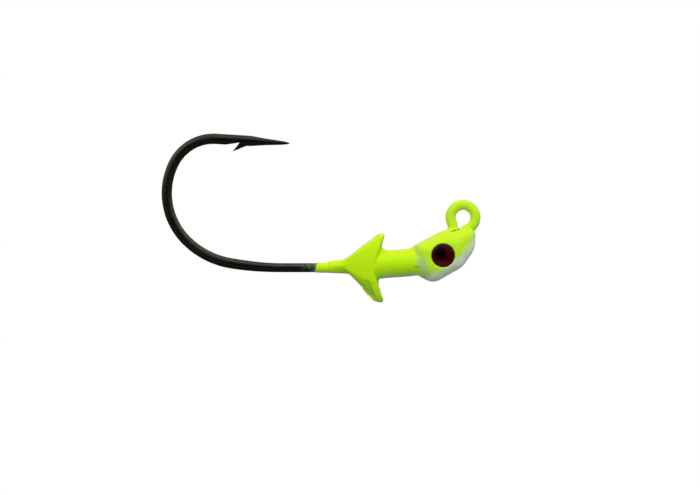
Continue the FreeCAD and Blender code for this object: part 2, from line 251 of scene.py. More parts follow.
def relaxed(points, edges, rounds):
    """Evens out small steps. The slightly longer way back out nearly keeps the volume."""
    for _ in range(rounds):
        points = points + SHRINK * to_neighbours(points, edges)
        points = points - GROW * to_neighbours(points, edges)
    return points


def flowed(points, edges, triangles, rounds, share):
    """Fills inner corners, as melted powder does, and leaves outer ones as they are."""
    for _ in range(rounds):
        out = normals(points, triangles)
        rise = np.maximum((to_neighbours(points, edges) * out).sum(axis=1), 0) * share
        points = points + out * rise[:, None]
    return points


def wavy(points, size, seed):
    """Smooth noise, mostly from -1 to 1, with bumps of the given size."""
    return np.array([noise.noise(Vector(p)) for p in points / size + seed]) * NOISE_GAIN


def in_sockets(points):
    """From 0 away from the eye sockets to 1 in them."""
    across = np.hypot(points[:, 0] - EYE.x, points[:, 2] - EYE.z)
    inside = smoothstep(EYE_RADIUS + SOCKET_OUTER, EYE_RADIUS + SOCKET_INNER, across)
    return inside * (np.abs(points[:, 1]) > DISC_LOW.y - SOCKET_DEPTH)


def on_flash(points):
    """From 0 to 1 on the edge of the thin web in front of the lower fin."""
    x, y, z = points.T
    low = smoothstep(FLASH_TOP, FLASH_EDGE, z + FLASH_SLOPE * (x - FLASH_X))
    return low * (np.abs(y) < FLASH_HALF) * (x < FLASH_FRONT)


def bare_surface():
    """A search tree of the bare lead and hook, in millimetres."""
    corners, faces = [], []
    for name in ("head_casting", "hook"):
        points, _, triangles = mesh_arrays(NODES[name].data)
        faces += (triangles + len(corners)).tolist()
        corners += points.tolist()
    return BVHTree.FromPolygons(corners, faces)


def covered(points, out):
    """Moves points out wherever less than the thinnest paint would be left over the metal."""
    points = points.copy()
    tree = bare_surface()
    for i, (point, away) in enumerate(zip(points, out)):
        near, _, _, gap = tree.find_nearest(Vector(point), COVER_REACH)
        if near is None:
            continue
        outside = (Vector(point) - near).dot(Vector(away)) > 0
        if not outside or gap < LEAST_COVER:
            points[i] = np.array(near) + away * LEAST_COVER
    return points


def painted_wire(end):
    """The hook's points and faces up to the end of the paint, closed there by a slanting face."""
    work = bmesh.new()
    work.from_mesh(NODES["hook"].data)
    bmesh.ops.remove_doubles(work, verts=work.verts, dist=1e-7)
    cut = bmesh.ops.bisect_plane(
        work,
        geom=work.verts[:] + work.edges[:] + work.faces[:],
        plane_co=(end * MM, 0, SHANK_Z * MM),
        plane_no=END_SLANT,
        clear_inner=True,
    )
    rim = [e for e in cut["geom_cut"] if isinstance(e, bmesh.types.BMEdge)]
    bmesh.ops.contextual_create(work, geom=rim)
    bmesh.ops.triangulate(work, faces=work.faces[:])
    work.verts.index_update()
    points = [tuple(v.co / MM) for v in work.verts]
    faces = [[v.index for v in f.verts] for f in work.faces]
    work.free()
    return points, faces


def pooled(corners):
    """A lump of pooled powder as points and faces: the hull of (X, Z, half width) corners."""
    work = bmesh.new()
    for x, z, half in corners:
        for side in SIDES.values():
            work.verts.new((x, side * half, z))
    bmesh.ops.convex_hull(work, input=work.verts[:])
    bmesh.ops.delete(work, geom=[v for v in work.verts if not v.link_faces], context="VERTS")
    bmesh.ops.recalc_face_normals(work, faces=work.faces[:])
    work.verts.index_update()
    points = [tuple(v.co) for v in work.verts]
    faces = [[v.index for v in f.verts] for f in work.faces]
    work.free()
    return points, faces


def largest_piece(mesh):
    """Leaves only the largest connected piece of a mesh."""
    work = bmesh.new()
    work.from_mesh(mesh)
    left = set(work.verts)
    largest = set()
    while left:
        start = left.pop()
        group, queue = {start}, [start]
        while queue:
            for edge in queue.pop().link_edges:
                for vert in edge.verts:
                    if vert not in group:
                        group.add(vert)
                        queue.append(vert)
        left -= group
        if len(group) > len(largest):
            largest = group
    bmesh.ops.delete(work, geom=[v for v in work.verts if v not in largest], context="VERTS")
    work.to_mesh(mesh)
    work.free()


def even_skin(coat):
    """One closed mesh round the lead and the painted wire, in squares of even size, in metres."""
    points, faces = painted_wire(coat.end / MM)
    lead, _, triangles = mesh_arrays(NODES["head_casting"].data)
    lumps = [pooled(corners) for corners in LUMPS]
    for more, sides in [(lead.tolist(), triangles.tolist()), *lumps]:
        faces += [[corner + len(points) for corner in side] for side in sides]
        points += more
    blank_mesh = bpy.data.meshes.new("skin_blank")
    blank_mesh.from_pydata(points, [], faces)
    blank = bpy.data.objects.new("skin_blank", blank_mesh)
    bpy.context.scene.collection.objects.link(blank)
    remesh = blank.modifiers.new("grain", "REMESH")
    remesh.mode = "VOXEL"
    remesh.voxel_size = coat.grain / MM * 1
    remesh.adaptivity = 0
    graph = bpy.context.evaluated_depsgraph_get()
    skin = bpy.data.meshes.new_from_object(blank.evaluated_get(graph))
    bpy.data.objects.remove(blank)
    bpy.data.meshes.remove(blank_mesh)
    skin.transform(Matrix.Scale(MM, 4))
    largest_piece(skin)
    return skin


def pools_filled(points, edges, triangles):
    """Fills the corners in POOLS further, each by its own rounds of flow."""
    for middle_x, middle_z, reach, rounds in POOLS:
        away = np.hypot(points[:, 0] - middle_x, points[:, 2] - middle_z)
        near = smoothstep(reach, reach * 0.5, away)
        points = flowed(points, edges, triangles, rounds, FLOW_SHARE * near)
    return points


def unevenness(points, height):
    """Ripples of the given height, and a rougher edge on the lower fin."""
    rough = 0.7 * wavy(points, *LONG_WAVE) + 0.3 * wavy(points, *SHORT_WAVE)
    rough *= height
    ragged = smoothstep(*RAGGED_Z, points[:, 2]) * smoothstep(*RAGGED_X, points[:, 0])
    rough += RAGGED_HEIGHT * ragged * wavy(points, *RAGGED_WAVE)
    return rough


def coat_points(skin, coat):
    """Where the paint's outside lies over an even skin, in millimetres."""
    points, edges, triangles = mesh_arrays(skin)
    end = coat.end / MM
    points = relaxed(points, edges, 3)
    crisp = np.maximum(in_sockets(points), on_flash(points))[:, None]
    filled = flowed(points, edges, triangles, coat.flow_rounds, FLOW_SHARE)
    filled = pools_filled(filled, edges, triangles)
    filled = relaxed(filled, edges, 2)
    points = points * crisp + filled * (1 - crisp)

    out = normals(points, triangles)
    body = smoothstep(end, end + END_TAPER, points[:, 0])
    rough = unevenness(points, coat.ripple / MM * body * (1 - crisp[:, 0]))
    cover = coat.thickness / MM * (END_COVER + (1 - END_COVER) * body)
    points = points + out * (cover + rough)[:, None]
    safe = covered(points, out)
    over = points[:, 0] > end + END_FREE
    points[over] = safe[over]

    edge = smoothstep(end + END_FAR, end + END_NEAR, points[:, 0])
    around = points * [0, 1, 1]
    points[:, 0] += edge * END_RAGGED * wavy(around, *END_WAVE)
    return cracked(points, normals(points, triangles))


def cracked(points, out):
    """Cuts the hairline cracks, each from one end to the other in X and Z."""
    for x1, z1, x2, z2, width, depth in CRACKS:
        run = np.array([x2 - x1, z2 - z1])
        flat = points[:, [0, 2]] - [x1, z1]
        share = np.clip(flat @ run / (run @ run), 0, 1)
        away = np.linalg.norm(flat - share[:, None] * run, axis=1)
        cut = depth * np.exp(-((away / width) ** 2)) * (np.abs(points[:, 1]) < CRACK_SPAN)
        points = points - out * cut[:, None]
    return points


def lathe(profile, segments):
    """Points and faces of a closed solid turned about Y from (radius, height) pairs."""
    points = [(0, profile[0][1], 0)]
    for radius, height in profile[1:-1]:
        for k in range(segments):
            turn = 2 * math.pi * k / segments
            points.append((radius * math.cos(turn), height, radius * math.sin(turn)))
    points.append((0, profile[-1][1], 0))
    rings = len(profile) - 2
    last = len(points) - 1
    faces = []
    for k in range(segments):
        after = (k + 1) % segments
        faces.append((0, 1 + k, 1 + after))
        for ring in range(rings - 1):
            a, b = 1 + ring * segments, 1 + (ring + 1) * segments
            faces.append((a + k, b + k, b + after, a + after))
        a = 1 + (rings - 1) * segments
        faces.append((last, a + after, a + k))
    return points, faces


def dome_profile(radius, back, front):
    """(radius, height) of a resin drop, from its crown, over its rounded rim, to its flat back."""
    crown = front - back - DOME_EDGE
    reach = radius - DOME_ROUNDING
    ball = (reach * reach + crown * crown) / (2 * crown)
    profile = [(0, front)]
    for k in range(1, CROWN_STEPS + 1):
        r = reach * k / CROWN_STEPS
        profile.append((r, front - ball + math.sqrt(ball * ball - r * r)))
    lean = math.asin(reach / ball)
    for k in range(1, RIM_STEPS + 1):
        turn = lean + (math.pi / 2 - lean) * k / RIM_STEPS
        high = back + DOME_EDGE - DOME_ROUNDING * (math.cos(lean) - math.cos(turn))
        profile.append((reach + DOME_ROUNDING * (math.sin(turn) - math.sin(lean)), high))
    wide = profile[-1][0]
    profile += [(wide, back + DOME_CHAMFER), (wide - DOME_CHAMFER, back)]
    profile += [(wide * 0.5, back), (0, back)]
    return profile


def new_piece(name, mesh, material, slot, *stands_for):
    """A smooth piece of the part that takes the place of CAD nodes."""
    mesh.name = name
    mesh.materials.clear()
    mesh.materials.append(material)
    mesh.polygons.foreach_set("use_smooth", [True] * len(mesh.polygons))
    mesh.update()
    piece = bpy.data.objects.new(name, mesh)
    bpy.context.scene.collection.objects.link(piece)
    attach(piece, "root")
    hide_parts(*stands_for)
    return piece


# --- Materials -------------------------------------------------------------------------------

# Thin strokes down the gill where undercoat shows: X and Z of both ends, width, and share of
# undercoat shown. Their tint is darker than the undercoat: partly painted shade in the step behind
# the head.
GILLS = [(-6.85, -4.35, -6.3, -6.2, 0.5, 0.42), (-6.1, -6.4, -5.4, -8.3, 0.85, 0.8)]

# The edge of the chartreuse on the belly lies on a circle about this point, in millimetres.
BELLY_MIDDLE = (-9.28, 0.0, 3.22)
BELLY_RADIUS = 12.58

# Where looks change along the part or up it: from none to all of the change, in millimetres.
HEAD_X, BELLY_X, BASE_BACK_X = (-7.5, -5.5), (-7.3, -6.4), (-6.4, -7.6)
FINS_BACK_X, FINS_FRONT_X, FIN_EDGE_Z = (-18.4, -17.6), (-12.2, -13.0), (-10.2, -11.4)
BEND_X, SPEAR_Z = (-31.0, -39.0), (8.0, 11.5)

# Colours that go with those in the settings, as linear red, green and blue.
WHITE = (1.0, 1.0, 1.0)
GILL_TINT_AND_SHADE = (0.38, 0.58, 0.25)
BASE_DUSTED = (0.58, 0.74, 0.52)
# Painted shade: the undercoat's darker tone on the undersides behind the head.
BASE_BACK = (0.42, 0.50, 0.40)
CRACK_DARK = (0.02, 0.025, 0.012)
LEAD_TONES = (0.20, 0.21, 0.23), (0.32, 0.33, 0.35)
LEAD_PIT = (0.10, 0.10, 0.11)
PLATING_SMEAR = (0.085, 0.088, 0.078)
# Painted shade for the plating's underside.
PLATING_UNDER_SHADE = (0.010, 0.010, 0.009)
PAINT_FILM = (0.13, 0.185, 0.14)
PAINT_FLECK = (0.22, 0.32, 0.22)
IRIS_PATCH = (0.13, 0.009, 0.005)
RESIN_TONES = (1.0, 0.97, 0.96), (0.97, 0.93, 0.92)
FLOOR_TONES = (0.30, 0.30, 0.30), (0.28, 0.28, 0.28)

FLOOR_GLOW = 0.66  # lifts the floor to nearly white for the camera only
FILL_LEVEL = 0.6  # the world's light on dull surfaces
FRONT_LEVEL, BELOW_LEVEL = 0.1, 0.12  # how dark the world is in front and below, in reflections


class Graph:
    """Adds and links the nodes of one material, world or node group."""

    def __init__(self, tree):
        self.tree = tree

    def add(self, kind, *inputs, **settings):
        """Adds a node, with its inputs in order, and returns its first output."""
        node = self.node(kind, **settings)
        for socket, value in zip(node.inputs, inputs):
            self.feed(socket, value)
        return node.outputs[0]

    def node(self, kind, **settings):
        """Adds a shader node and returns it."""
        node = self.tree.nodes.new("ShaderNode" + kind)
        for key, value in settings.items():
            setattr(node, key, value)
        return node

    def feed(self, socket, value):
        """Links an output into a socket, or sets the socket's own value. None leaves it."""
        if isinstance(value, bpy.types.NodeSocket):
            self.tree.links.new(value, socket)
        elif value is not None:
            socket.default_value = value

    def math(self, operation, *values, clamp=False):
        """The result of one step of arithmetic."""
        return self.add("Math", *values, operation=operation, use_clamp=clamp)

    def step(self, value, low, high, start=0.0, end=1.0):
        """From start to end while a value goes from low to high, with soft ends."""
        return self.add(
            "MapRange", value, low, high, start, end, interpolation_type="SMOOTHSTEP"
        )

    def mix(self, share, first, second):
        """A colour between two, by share."""
        node = self.node("Mix", data_type="RGBA")
        self.feed(node.inputs[0], share)
        for socket, value in ((node.inputs[6], first), (node.inputs[7], second)):
            self.feed(socket, value if isinstance(value, bpy.types.NodeSocket) else (*value, 1))
        return node.outputs[2]

    def place(self):
        """Where a point is, in millimetres."""
        spot = self.node("TexCoord").outputs["Object"]
        return self.add("VectorMath", spot, (1 / MM,) * 3, operation="MULTIPLY")

    def apart(self, vector):
        """A vector's X, Y and Z."""
        node = self.node("SeparateXYZ")
        self.feed(node.inputs[0], vector)
        return node.outputs[:]

    def use(self, group, **values):
        """Places a shared node group with its own values."""
        node = self.node("Group")
        node.node_tree = group
        for key, value in values.items():
            self.feed(node.inputs[key.replace("_", " ")], value)
        return node.outputs[0]


def node_group(name, inputs, output):
    """An empty shader node group with named number inputs and one number as output."""
    group = bpy.data.node_groups.new(name, "ShaderNodeTree")
    for label, value in inputs.items():
        socket = group.interface.new_socket(label, in_out="INPUT", socket_type="NodeSocketFloat")
        socket.default_value = value
    group.interface.new_socket(output, in_out="OUTPUT", socket_type="NodeSocketFloat")
    graph = Graph(group)
    given = group.nodes.new("NodeGroupInput").outputs
    result = group.nodes.new("NodeGroupOutput").inputs[0]
    return graph, given, result


def cloud_group():
    """Soft patches, from 0 to 1."""
    inputs = {"Size": 1.0, "Detail": 2.0, "Low": 0.35, "High": 0.65, "Shift": 0.0}
    graph, given, result = node_group("jig_cloud", inputs, "Mask")
    spot = graph.add("VectorMath", graph.place(), given["Shift"], operation="ADD")
    scale = graph.math("DIVIDE", 1.0, given["Size"])
    field = graph.add("TexNoise", spot, None, scale, given["Detail"])
    graph.feed(result, graph.step(field, given["Low"], given["High"]))
    return graph.tree


def speck_group():
    """Fine round specks of dust or spray, from 0 to 1, on about Share of the surface."""
    inputs = {"Size": 0.2, "Share": 0.3, "Shift": 0.0}
    graph, given, result = node_group("jig_specks", inputs, "Mask")
    spot = graph.add("VectorMath", graph.place(), given["Shift"], operation="ADD")
    scale = graph.math("DIVIDE", 1.0, given["Size"])
    cells = graph.node("TexVoronoi")
    graph.feed(cells.inputs["Vector"], spot)
    graph.feed(cells.inputs["Scale"], scale)
    chosen = graph.apart(cells.outputs["Color"])[0]
    near = graph.step(cells.outputs["Distance"], 0.5, 0.25)
    keep = graph.math("LESS_THAN", chosen, given["Share"])
    graph.feed(result, graph.math("MULTIPLY", near, keep))
    return graph.tree


def relief_group():
    """The height of a lightly uneven surface, in millimetres: long waves, peel and fine dust."""
    inputs = {"Wave": 0.0, "Peel Size": 0.5, "Peel": 0.0, "Dust Size": 0.1, "Dust": 0.0}
    graph, given, result = node_group("jig_relief", inputs, "Height")
    spot = graph.place()
    wave = graph.math("MULTIPLY", graph.add("TexNoise", spot, None, 0.6, 2.0), given["Wave"])
    peel = graph.add("TexNoise", spot, None, graph.math("DIVIDE", 1.0, given["Peel Size"]), 1.0)
    dust = graph.add("TexNoise", spot, None, graph.math("DIVIDE", 1.0, given["Dust Size"]), 2.0)
    total = graph.math("MULTIPLY_ADD", peel, given["Peel"], wave)
    graph.feed(result, graph.math("MULTIPLY_ADD", dust, given["Dust"], total))
    return graph.tree


def line_group():
    """A ragged line across the sides from X1, Z1 to X2, Z2, in millimetres, from 0 to 1 on it."""
    inputs = {"X1": 0.0, "Z1": 0.0, "X2": 1.0, "Z2": 0.0, "Width": 0.1, "Wobble": 0.1}
    graph, given, result = node_group("jig_line", inputs, "Mask")
    x, _, z = graph.apart(graph.place())
    spot = graph.add("CombineXYZ", x, z)
    start = graph.add("CombineXYZ", given["X1"], given["Z1"])
    finish = graph.add("CombineXYZ", given["X2"], given["Z2"])
    run = graph.add("VectorMath", finish, start, operation="SUBTRACT")
    from_start = graph.add("VectorMath", spot, start, operation="SUBTRACT")
    dots = []
    for a, b in ((from_start, run), (run, run)):
        node = graph.node("VectorMath", operation="DOT_PRODUCT")
        graph.feed(node.inputs[0], a)
        graph.feed(node.inputs[1], b)
        dots.append(node.outputs["Value"])
    share = graph.math("DIVIDE", *dots, clamp=True)
    along = graph.node("VectorMath", operation="SCALE")
    graph.feed(along.inputs[0], run)
    graph.feed(along.inputs["Scale"], share)
    gap = graph.node("VectorMath", operation="DISTANCE")
    graph.feed(gap.inputs[0], from_start)
    graph.feed(gap.inputs[1], along.outputs[0])
    wobble = graph.math("SUBTRACT", graph.add("TexNoise", graph.place(), None, 4.0, 2.0), 0.5)
    away = graph.math("MULTIPLY_ADD", wobble, given["Wobble"], gap.outputs["Value"])
    half = graph.math("MULTIPLY", given["Width"], 0.5)
    graph.feed(result, graph.step(away, given["Width"], half))
    return graph.tree


def effects():
    """The shared node groups, each built once: clouds, specks, relief and lines."""
    builders = {
        "jig_cloud": cloud_group,
        "jig_specks": speck_group,
        "jig_relief": relief_group,
        "jig_line": line_group,
    }
    made = bpy.data.node_groups
    return [made[name] if name in made else build() for name, build in builders.items()]


def new_material(name):
    """A material with one Principled shader, and its node graph."""
    material = bpy.data.materials.new(name)
    material.use_nodes = True
    material.node_tree.nodes.clear()
    graph = Graph(material.node_tree)
    shader = graph.node("BsdfPrincipled")
    output = graph.node("OutputMaterial")
    graph.feed(output.inputs["Surface"], shader.outputs[0])
    return material, graph, shader, output


def shade(tone, share):
    """A darker or lighter tone of a colour."""
    return [channel * share for channel in tone]


def relief(graph, shader, height):
    """Feeds a height in millimetres into the shader's normal."""
    bump = graph.node("Bump")
    bump.inputs["Strength"].default_value = 1.0
    bump.inputs["Distance"].default_value = MM
    graph.feed(bump.inputs["Height"], height)
    graph.feed(shader.inputs["Normal"], bump.outputs[0])


def chartreuse(graph, coat, x, up, blotch, mottle):
    """The top coat's colour, thick and yellow above, thin and green below, by which way the surface
    faces: partly the spray, partly painted light and shade.
    """
    turned = graph.math("MULTIPLY_ADD", graph.math("SUBTRACT", blotch, 0.5), 0.25, up)
    paint = graph.mix(graph.step(turned, -0.75, 0.0), coat.low_colour, coat.side_colour)
    paint = graph.mix(graph.step(turned, 0.1, 0.85), paint, coat.top_colour)
    paint = graph.mix(graph.math("MULTIPLY", mottle, 0.16), paint, coat.low_colour)
    # A little white on the head is a painted reflection, a pale sheen there.
    return graph.mix(graph.step(x, *HEAD_X, 0.0, 0.014), paint, WHITE)


def undercoat(graph, place, facing, grainy):
    """How much undercoat shows. The spray missed the belly, the undersides and the fin's edge."""
    x, _, z = place
    lean_x, _, up = facing
    from_middle = graph.node("VectorMath", operation="DISTANCE")
    graph.feed(from_middle.inputs[0], graph.add("CombineXYZ", x, 0.0, z))
    from_middle.inputs[1].default_value = BELLY_MIDDLE
    belly = graph.math("ADD", from_middle.outputs["Value"], graph.math("MULTIPLY", grainy, -0.7))
    belly = graph.step(belly, BELLY_RADIUS - 0.85, BELLY_RADIUS + 0.35)
    belly = graph.math("MULTIPLY", belly, graph.step(x, *BELLY_X))
    under = graph.math("MULTIPLY_ADD", grainy, 0.16, up)
    under = graph.step(under, -0.66, -0.9)
    fins = graph.math("MULTIPLY", graph.step(x, *FINS_BACK_X), graph.step(x, *FINS_FRONT_X))
    under = graph.math("MULTIPLY", under, graph.math("MULTIPLY_ADD", fins, -0.75, 1.0))
    edge = graph.math("MULTIPLY_ADD", lean_x, -0.55, graph.math("MULTIPLY", up, -0.83))
    edge = graph.step(graph.math("MULTIPLY_ADD", grainy, -0.25, edge), 0.55, 0.95, 0.0, 0.6)
    edge = graph.math("MULTIPLY", edge, graph.step(z, *FIN_EDGE_Z))
    return graph.math("MAXIMUM", graph.math("MAXIMUM", belly, under), edge)


def coat_material(coat):
    """Chartreuse over a pale undercoat, thick above and thin below, with hairline cracks. Its
    yellower tops and greener undersides are partly painted light and shade.
    """
    cloud, specks, height, line = effects()
    material, graph, shader, _ = new_material("chartreuse_powder_coat")
    place = graph.apart(graph.place())
    facing = graph.apart(graph.node("NewGeometry").outputs["Normal"])
    blotch = graph.use(cloud, Size=2.4, Detail=3.0)
    mottle = graph.use(cloud, Size=0.55, Detail=3.0, Shift=3.0)
    dots = graph.use(specks, Size=0.16, Share=0.45)
    grainy = graph.math("MULTIPLY_ADD", mottle, 0.5, graph.math("MULTIPLY", dots, 0.3))
    x = place[0]
    paint = chartreuse(graph, coat, x, facing[2], blotch, mottle)

    gill = 0.0
    for x1, z1, x2, z2, width, strength in GILLS:
        stroke = graph.use(line, X1=x1, Z1=z1, X2=x2, Z2=z2, Width=width, Wobble=0.5)
        gill = graph.math("MAXIMUM", graph.math("MULTIPLY", stroke, strength), gill)
    gill = graph.math("MULTIPLY", gill, graph.step(grainy, 0.85, 0.1, 0.55, 1.0))
    # The gill tint is partly undercoat and partly painted shade in the step behind the head.
    paint = graph.mix(gill, paint, GILL_TINT_AND_SHADE)
    bare = undercoat(graph, place, facing, grainy)
    base = graph.mix(graph.math("MULTIPLY", blotch, 0.6), coat.base_colour, BASE_DUSTED)
    # Behind the head the undercoat shows only on undersides; its darker tone there is painted
    # shade.
    base = graph.mix(graph.step(x, *BASE_BACK_X, 0.0, 0.7), base, BASE_BACK)
    paint = graph.mix(bare, paint, base)

    crack = 0.0
    for x1, z1, x2, z2, width, _ in CRACKS:
        mark = graph.use(line, X1=x1, Z1=z1, X2=x2, Z2=z2, Width=width, Wobble=0.2)
        crack = graph.math("MAXIMUM", mark, crack)
    graph.feed(shader.inputs["Base Color"], graph.mix(crack, paint, CRACK_DARK))
    dull = graph.math("MULTIPLY_ADD", mottle, 0.12, 0.27)
    dull = graph.math("MULTIPLY_ADD", bare, 0.1, dull)
    graph.feed(shader.inputs["Roughness"], graph.math("MULTIPLY_ADD", crack, 0.4, dull))
    shader.inputs["Specular IOR Level"].default_value = 0.15
    peel = graph.use(height, Wave=0.02, Peel_Size=0.55, Peel=0.012, Dust_Size=0.12, Dust=0.0025)
    relief(graph, shader, graph.math("MULTIPLY_ADD", crack, -0.03, peel))
    return material


def lead_material():
    """Cast lead with a dull grey skin, under the paint."""
    cloud, specks, height, _ = effects()
    material, graph, shader, _ = new_material("cast_lead_skin")
    blotch = graph.use(cloud, Size=1.6, Detail=4.0)
    pits = graph.use(specks, Size=0.35, Share=0.2)
    grey = graph.mix(blotch, *LEAD_TONES)
    graph.feed(shader.inputs["Base Color"], graph.mix(pits, grey, LEAD_PIT))
    graph.feed(shader.inputs["Roughness"], graph.math("MULTIPLY_ADD", blotch, 0.2, 0.45))
    shader.inputs["Metallic"].default_value = 0.85
    rough = graph.use(height, Wave=0.02, Peel_Size=0.4, Peel=0.02, Dust_Size=0.08, Dust=0.01)
    relief(graph, shader, graph.math("MULTIPLY_ADD", pits, -0.02, rough))
    return material


def plating_material(hook, coat):
    """Black nickel on drawn and forged wire, with specks of paint dusted past the coat's end.
    Painted shade darkens its underside and the spear's top, and painted light lightens faces turned
    towards -X.
    """
    cloud, specks, height, _ = effects()
    material, graph, shader, _ = new_material("black_nickel_plating")
    x, _, z = graph.apart(graph.place())
    facing, _, up = graph.apart(graph.node("NewGeometry").outputs["Normal"])
    worn = graph.use(cloud, Size=3.0, Detail=4.0)
    smear = graph.use(cloud, Size=0.5, Detail=3.0, Shift=9.0)
    black = hook.plating_colour
    plating = graph.mix(worn, black, shade(black, 0.72))
    plating = graph.mix(graph.math("MULTIPLY", smear, 0.3), plating, PLATING_SMEAR)
    bend = graph.step(x, *BEND_X)
    plating = graph.mix(bend, plating, shade(black, 1.1))
    # Painted shade: the upward-facing top of the spear is made darker.
    spear = graph.math("MULTIPLY", graph.step(z, *SPEAR_Z, 0.0, 0.55), graph.step(up, 0.2, 0.7))
    plating = graph.mix(spear, plating, shade(black, 0.45))
    # Painted shade: the plating is made darker on its underside.
    plating = graph.mix(graph.step(up, 0.15, -0.4, 0.0, 0.8), plating, PLATING_UNDER_SHADE)
    # Painted light: faces turned towards -X, and not facing down, are made lighter, standing in for
    # a reflection from that side.
    level = graph.step(up, -0.4, -0.1)
    back = graph.math("MULTIPLY", graph.step(facing, -0.3, -0.8, 0.0, 0.6), level)
    plating = graph.mix(back, plating, shade(black, 1.5))

    # Overspray: specks past the coat's end, thicker above, in a thin film beside the coat.
    end, reach = coat.end / MM, hook.fleck_reach / MM
    near = graph.step(x, end - reach, end + 0.2)
    near = graph.math("MULTIPLY", near, graph.math("LESS_THAN", z, SHANK_Z + 1.5))
    dust = graph.math("MULTIPLY", near, graph.step(up, -0.9, 0.7, 0.45, 1.0))
    fine = graph.use(specks, Size=0.24, Share=0.5)
    coarse = graph.use(specks, Size=0.45, Share=0.25, Shift=5.0)
    fleck = graph.math("MAXIMUM", fine, graph.math("MULTIPLY", coarse, 0.8))
    fleck = graph.math("MULTIPLY", fleck, dust)
    film = graph.math("MULTIPLY", graph.step(x, end - 1.5, end), 0.45)
    smeared = graph.math("MULTIPLY", graph.math("MULTIPLY", dust, smear), 0.4)
    film = graph.math("MAXIMUM", film, smeared)
    plating = graph.mix(film, plating, PAINT_FILM)
    graph.feed(shader.inputs["Base Color"], graph.mix(fleck, plating, PAINT_FLECK))
    fleck = graph.math("ADD", film, fleck, clamp=True)
    graph.feed(shader.inputs["Metallic"], graph.math("SUBTRACT", 1.0, fleck))
    shader.inputs["Specular Tint"].default_value = (0.35, 0.35, 0.35, 1)
    sheen = graph.math("MULTIPLY_ADD", worn, 0.08, 0.17)
    sheen = graph.math("MULTIPLY_ADD", smear, 0.08, sheen)
    sheen = graph.math("MULTIPLY_ADD", bend, 0.1, sheen)
    graph.feed(shader.inputs["Roughness"], graph.math("MULTIPLY_ADD", fleck, 0.3, sheen))
    drawn = graph.use(height, Wave=0.015, Peel_Size=0.35, Peel=0.006, Dust_Size=0.06, Dust=0.0015)
    relief(graph, shader, graph.math("MULTIPLY_ADD", fleck, 0.02, drawn))
    return material


def print_material(eye):
    """The eye's print: a black pupil in a dark red iris with fine spokes."""
    cloud, specks, height, _ = effects()
    material, graph, shader, _ = new_material("eye_print")
    x, _, z = graph.apart(graph.place())
    side = graph.math("SUBTRACT", x, EYE.x - eye.pupil_back / MM)
    above = graph.math("SUBTRACT", z, EYE.z + eye.pupil_up / MM)
    tall = graph.math("MULTIPLY", above, 0.92)
    squares = graph.math("MULTIPLY_ADD", side, side, graph.math("MULTIPLY", tall, tall))
    away = graph.math("SQRT", squares)
    blur = graph.math("SUBTRACT", graph.use(cloud, Size=0.5, Detail=2.0), 0.5)
    away = graph.math("MULTIPLY_ADD", blur, 0.12, away)
    pupil = eye.pupil_radius / MM
    inside = graph.step(away, pupil + 0.22, pupil - 0.25)
    turn = graph.math("ARCTAN2", above, side)
    around = graph.math("MULTIPLY", turn, 7.0)
    ring = graph.add("CombineXYZ", around, graph.math("MULTIPLY", away, 0.8))
    spokes = graph.step(graph.add("TexNoise", ring, None, 1.6, 3.0), 0.35, 0.7)
    patch = graph.use(cloud, Size=1.1, Detail=2.0, Shift=7.0)
    red = eye.iris_colour
    iris = graph.mix(graph.math("MULTIPLY", spokes, 0.55), red, shade(red, 0.55))
    iris = graph.mix(graph.math("MULTIPLY", patch, 0.3), iris, IRIS_PATCH)
    graph.feed(shader.inputs["Base Color"], graph.mix(inside, iris, eye.pupil_colour))
    grain = graph.use(specks, Size=0.1, Share=0.5)
    graph.feed(shader.inputs["Roughness"], graph.math("MULTIPLY_ADD", grain, 0.1, 0.45))
    shader.inputs["Specular IOR Level"].default_value = 0.1
    paper = graph.use(height, Wave=0.0, Peel_Size=0.3, Peel=0.004, Dust_Size=0.07, Dust=0.002)
    relief(graph, shader, graph.math("MULTIPLY_ADD", grain, 0.002, paper))
    return material


def resin_material():
    """Clear resin with a few specks of dust, which casts no shadow on the print."""
    cloud, specks, height, _ = effects()
    material, graph, shader, output = new_material("clear_eye_resin")
    haze = graph.use(cloud, Size=0.9, Detail=2.0)
    dust = graph.use(specks, Size=0.12, Share=0.03)
    shader.inputs["Transmission Weight"].default_value = 1.0
    shader.inputs["IOR"].default_value = 1.3
    shader.inputs["Specular IOR Level"].default_value = 0.2
    graph.feed(shader.inputs["Base Color"], graph.mix(haze, *RESIN_TONES))
    gloss = graph.math("MULTIPLY_ADD", haze, 0.03, 0.02)
    graph.feed(shader.inputs["Roughness"], graph.math("MULTIPLY_ADD", dust, 0.06, gloss))
    relief(graph, shader, graph.use(height, Wave=0.004, Peel_Size=0.9, Peel=0.001))
    through = graph.node("BsdfTransparent")
    mixed = graph.node("MixShader")
    graph.feed(mixed.inputs[0], graph.node("LightPath").outputs["Is Shadow Ray"])
    graph.feed(mixed.inputs[1], shader.outputs[0])
    graph.feed(mixed.inputs[2], through.outputs[0])
    graph.feed(output.inputs["Surface"], mixed.outputs[0])
    return material


